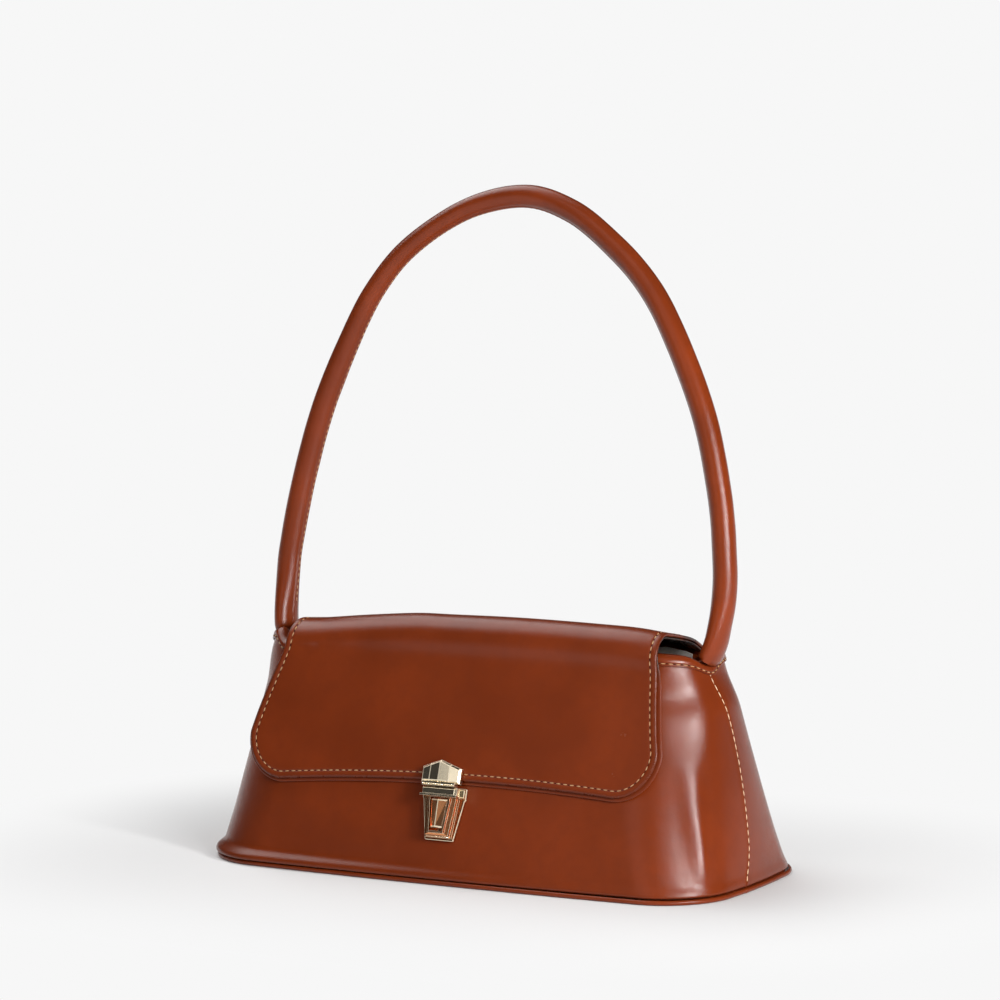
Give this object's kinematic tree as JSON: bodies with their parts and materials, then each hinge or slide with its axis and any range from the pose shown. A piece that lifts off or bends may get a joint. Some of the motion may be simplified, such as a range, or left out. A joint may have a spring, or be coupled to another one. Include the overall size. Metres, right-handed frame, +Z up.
{
  "type": "handbag",
  "caption": "Small trapezoid leather shoulder bag with a padded arched handle, a wide front flap over the top and a push lock.",
  "frame": {"origin": "on the ground under the middle of the base", "axes": "+Z up, -Y the front with the flap and the lock, +X along the bag to its right end as seen from the front"},
  "size_m": [0.2746, 0.1222, 0.3175],
  "materials": {
    "cognac_leather": "smooth, waxed gloss",
    "edge_leather": "smooth, satin",
    "flap_lining": "smooth, satin",
    "lining_fabric": "fine weave",
    "stiffening_board": "plain board",
    "handle_padding": "soft cord",
    "pale_gold_metal": "polished, pale gold",
    "plain_steel": "plain"
  },
  "bodies": {
    "bag_body": {"front_panel": "cognac_leather", "back_panel": "cognac_leather", "base_panel": "cognac_leather", "base_piping": "edge_leather", "front_rim_binding": "edge_leather", "back_rim_binding": "edge_leather", "front_stiffener": "stiffening_board", "back_stiffener": "stiffening_board", "base_board": "stiffening_board", "front_lining": "lining_fabric", "back_lining": "lining_fabric", "base_lining": "lining_fabric", "handle_tab_left": "cognac_leather", "handle_tab_right": "cognac_leather", "flap_seam_strip": "cognac_leather", "lock_plate": "pale_gold_metal", "lock_case": "pale_gold_metal", "lock_washer": "plain_steel", "lock_spring": "plain_steel"},
    "flap_top": {"flap_top_leather": "cognac_leather", "flap_top_lining": "flap_lining"},
    "flap_front": {"flap_front_leather": "cognac_leather", "flap_front_lining": "flap_lining", "lock_cap": "pale_gold_metal", "cap_back_plate": "plain_steel"},
    "lock_button": {"lock_button": "pale_gold_metal"},
    "handle": {"handle_cover": "cognac_leather", "handle_core": "handle_padding"}
  },
  "joints": [
    {"name": "flap_hinge", "type": "hinge", "parent": "bag_body", "child": "flap_top", "pos_m": [0, 0.03092, 0.1067], "axis": [-1, 0, 0], "range_deg": [0, 100]},
    {"name": "flap_fold", "type": "hinge", "parent": "flap_top", "child": "flap_front", "pos_m": [0, -0.02474, 0.11374], "axis": [-1, 0, 0], "range_deg": [0, 80]},
    {"name": "handle_swing", "type": "hinge", "parent": "bag_body", "child": "handle", "pos_m": [0, 0, 0.1056], "axis": [1, 0, 0], "range_deg": [-50, 65]},
    {"name": "lock_slide", "type": "slide", "parent": "bag_body", "child": "lock_button", "axis": [0, -0.2891, -0.9573], "range_m": [0, 0.0015], "stiffness_N_per_m": 1500, "deforming": ["lock_spring"]}
  ]
}
